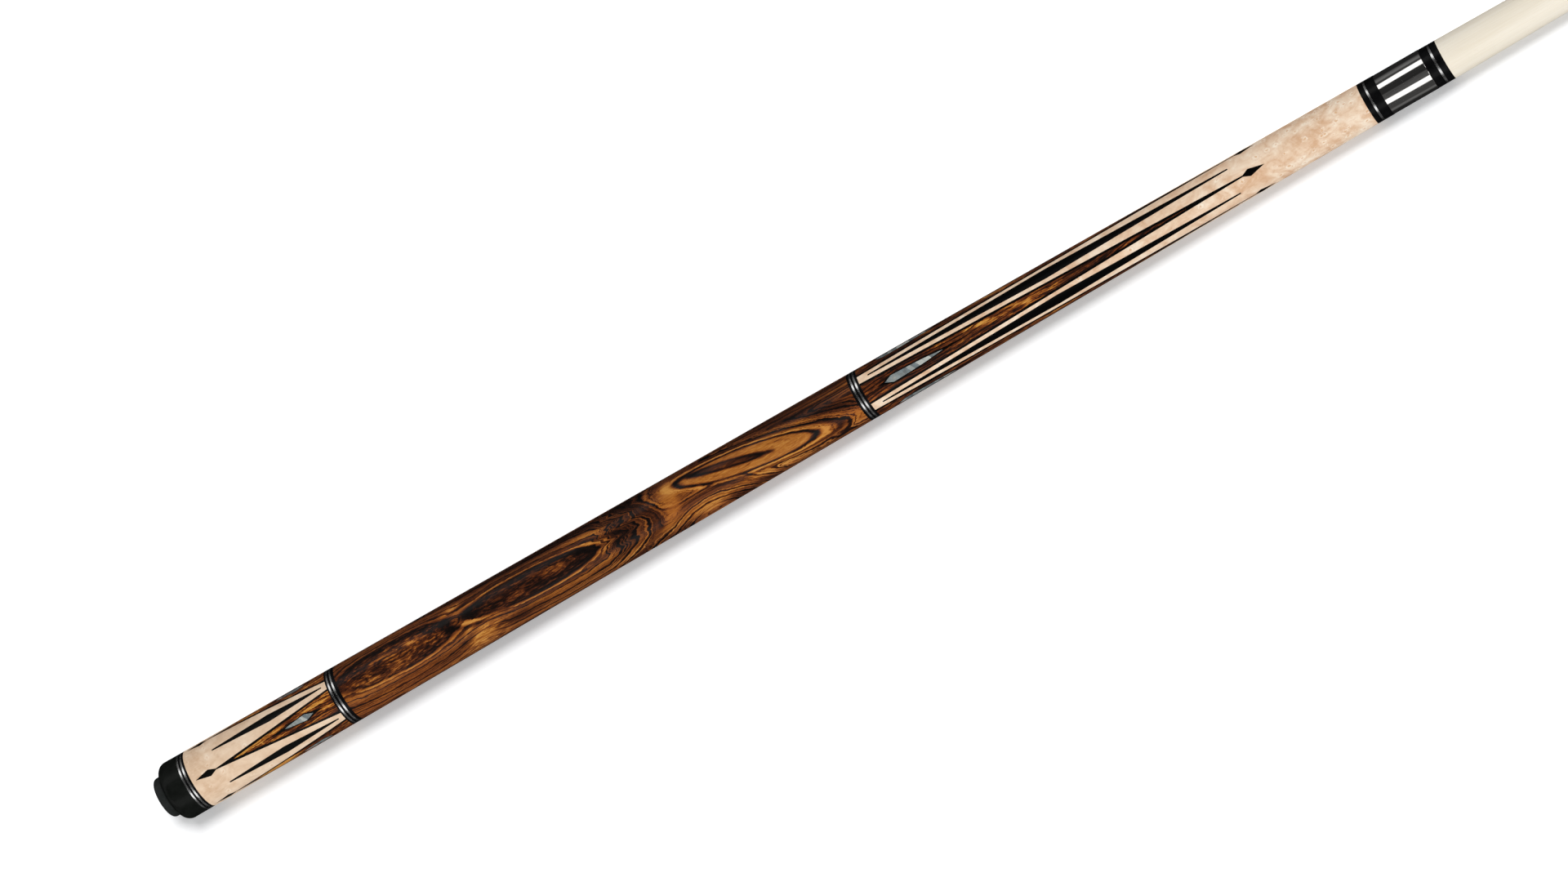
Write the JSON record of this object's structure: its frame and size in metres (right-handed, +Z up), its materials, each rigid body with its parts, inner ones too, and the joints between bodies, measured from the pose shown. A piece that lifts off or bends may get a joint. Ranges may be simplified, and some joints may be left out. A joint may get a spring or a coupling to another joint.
{
  "type": "pool cue",
  "caption": "Two-piece pool cue with inlaid points on forearm and butt sleeve, wrapless handle, steel joint collar, screw-on tapered shaft and push-in rubber bumper.",
  "frame": {"origin": "centre of the rubber bumper's end face, on the cue's axis", "axes": "+X along the cue's axis from the bumper to the tip, +Z up through the middle of one point of each inlaid set, +Y completes the right-handed frame"},
  "size_m": [1.4782, 0.032, 0.032],
  "materials": {
    "bumper_rubber": "matte black rubber",
    "cap_black": "polished black phenolic",
    "ring_black": "polished black phenolic",
    "ring_silver": "polished silver",
    "figured_maple": "clear gloss lacquer over figured maple",
    "striped_rosewood": "clear gloss lacquer over strongly striped rosewood",
    "black_wood": "clear gloss lacquer over black wood",
    "pearl_shell": "polished pearl shell",
    "core_maple": "plain straight-grained maple",
    "stainless": "polished stainless steel",
    "bolt_steel": "plain steel",
    "insert_brass": "turned brass",
    "shaft_maple": "sealed plain maple",
    "ferrule_white": "polished off-white",
    "pad_fibre": "vulcanised fibre",
    "tip_leather": "scuffed leather with blue chalk"
  },
  "bodies": {
    "butt": {"butt_cap": "cap_black", "cap_ring_silver": "ring_silver", "cap_ring_black": "ring_black", "butt_sleeve": "figured_maple", "sleeve_points": "striped_rosewood", "sleeve_point_veneers": "black_wood", "sleeve_diamonds": "black_wood", "sleeve_needles": "black_wood", "sleeve_pearls": "pearl_shell", "sleeve_pearl_borders": "black_wood", "sleeve_ring_black": "ring_black", "sleeve_ring_silver": "ring_silver", "handle": "striped_rosewood", "handle_core": "core_maple", "a_joint_stud": "bolt_steel", "a_ring_black": "ring_black", "a_ring_silver": "ring_silver", "forearm": "figured_maple", "forearm_points": "striped_rosewood", "forearm_point_veneers": "black_wood", "forearm_diamonds": "black_wood", "forearm_needles": "black_wood", "forearm_pearls": "pearl_shell", "forearm_pearl_borders": "black_wood", "forearm_core": "core_maple", "joint_ring_black": "ring_black", "joint_ring_silver": "ring_silver", "joint_collar": "stainless", "joint_pin": "stainless"},
    "bumper_body": {"bumper": "bumper_rubber"},
    "weight_body": {"weight_bolt": "bolt_steel"},
    "pad_body": {"tip_pad": "pad_fibre"},
    "shaft_body": {"shaft": "shaft_maple", "shaft_ring_black": "ring_black", "shaft_ring_silver": "ring_silver", "shaft_insert": "insert_brass", "ferrule": "ferrule_white", "tip": "tip_leather"}
  },
  "joints": [
    {"name": "bumper_pull", "type": "slide", "parent": "butt", "child": "bumper_body", "axis": [-1, 0, 0], "range_m": [0, 0.0195]},
    {"name": "weight_travel", "type": "slide", "parent": "butt", "child": "weight_body", "axis": [-1, 0, 0], "range_m": [0, 0.0195]},
    {"name": "shaft_travel", "type": "slide", "parent": "butt", "child": "pad_body", "axis": [1, 0, 0], "range_m": [0, 0.02667]},
    {"name": "shaft_turn", "type": "hinge", "parent": "pad_body", "child": "shaft_body", "pos_m": [0.7416, 0, 0], "axis": [1, 0, 0], "range_deg": [0, 3780]}
  ],
  "couplings": [
    {"joint": "shaft_turn", "follows": "shaft_travel", "rad_per_m": 2473.7}
  ]
}
